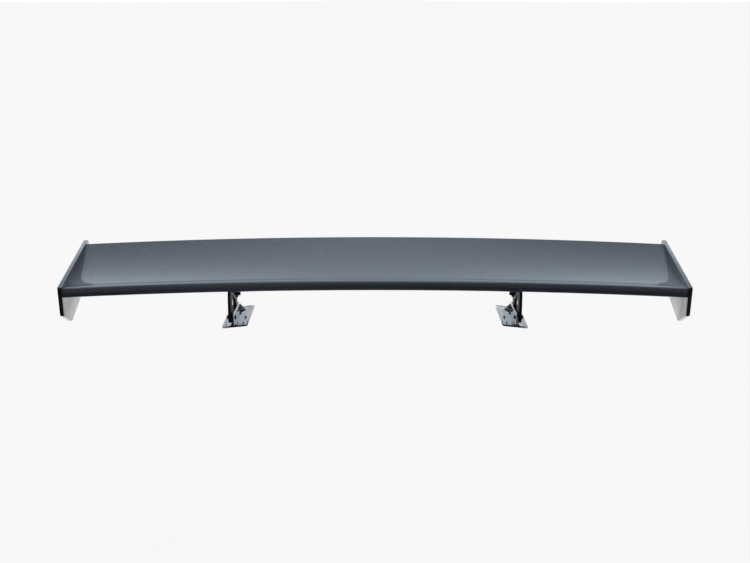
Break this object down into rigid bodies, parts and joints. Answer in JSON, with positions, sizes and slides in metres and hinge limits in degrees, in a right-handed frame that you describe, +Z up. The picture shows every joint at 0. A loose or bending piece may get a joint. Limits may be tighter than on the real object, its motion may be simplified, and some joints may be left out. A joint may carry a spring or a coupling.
{
  "type": "rear wing",
  "caption": "Arched racing rear wing with a hollow upper face and endplates, hinged on two cut-out uprights with sloping screw-down base brackets",
  "frame": {"origin": "middle of the bounding box from side to side and front to back, at the lowest edge of the base pads", "axes": "+X across the car to the side, +Y towards the trailing edge, +Z up. The leading edge faces -Y"},
  "size_m": [1.6076, 0.3188, 0.1887],
  "materials": {
    "carbon_twill": "twill carbon fibre under clear gloss resin",
    "endplate_black": "black laminate, gloss",
    "black_coat": "gloss black powder coat on aluminium plate",
    "rubber_pad": "matt black",
    "brass_insert": "turned",
    "bare_aluminium": "mill finish",
    "core_foam": "rigid foam",
    "black_steel": "black oxide",
    "plated_steel": "zinc plated"
  },
  "bodies": {
    "mounts": {"left_upright": "black_coat", "right_upright": "black_coat", "left_base_bracket": "black_coat", "right_base_bracket": "black_coat", "left_base_pad": "rubber_pad", "right_base_pad": "rubber_pad", "pivot_bolts": "black_steel", "pivot_washers": "plated_steel", "pivot_nuts": "plated_steel", "foot_bolts": "black_steel", "foot_spacers": "plated_steel", "foot_washers": "plated_steel", "foot_nuts": "plated_steel"},
    "wing": {"upper_skin": "carbon_twill", "lower_skin": "carbon_twill", "spar_tube": "bare_aluminium", "trailing_core": "core_foam", "left_end_rib": "core_foam", "right_end_rib": "core_foam", "left_mount_rib": "bare_aluminium", "right_mount_rib": "bare_aluminium", "inner_ribs": "core_foam", "end_inserts": "brass_insert", "mount_inserts": "brass_insert", "left_endplate": "endplate_black", "right_endplate": "endplate_black", "endplate_screws": "black_steel", "endplate_washers": "plated_steel", "left_wing_bracket": "black_coat", "right_wing_bracket": "black_coat", "bracket_screws": "black_steel", "adjuster_bolts": "black_steel", "adjuster_washers": "plated_steel", "adjuster_nuts": "plated_steel"}
  },
  "joints": [
    {"name": "wing_angle", "type": "hinge", "parent": "mounts", "child": "wing", "pos_m": [0, -0.08067, 0.0925], "axis": [1, 0, 0], "range_deg": [-10, 4]}
  ]
}
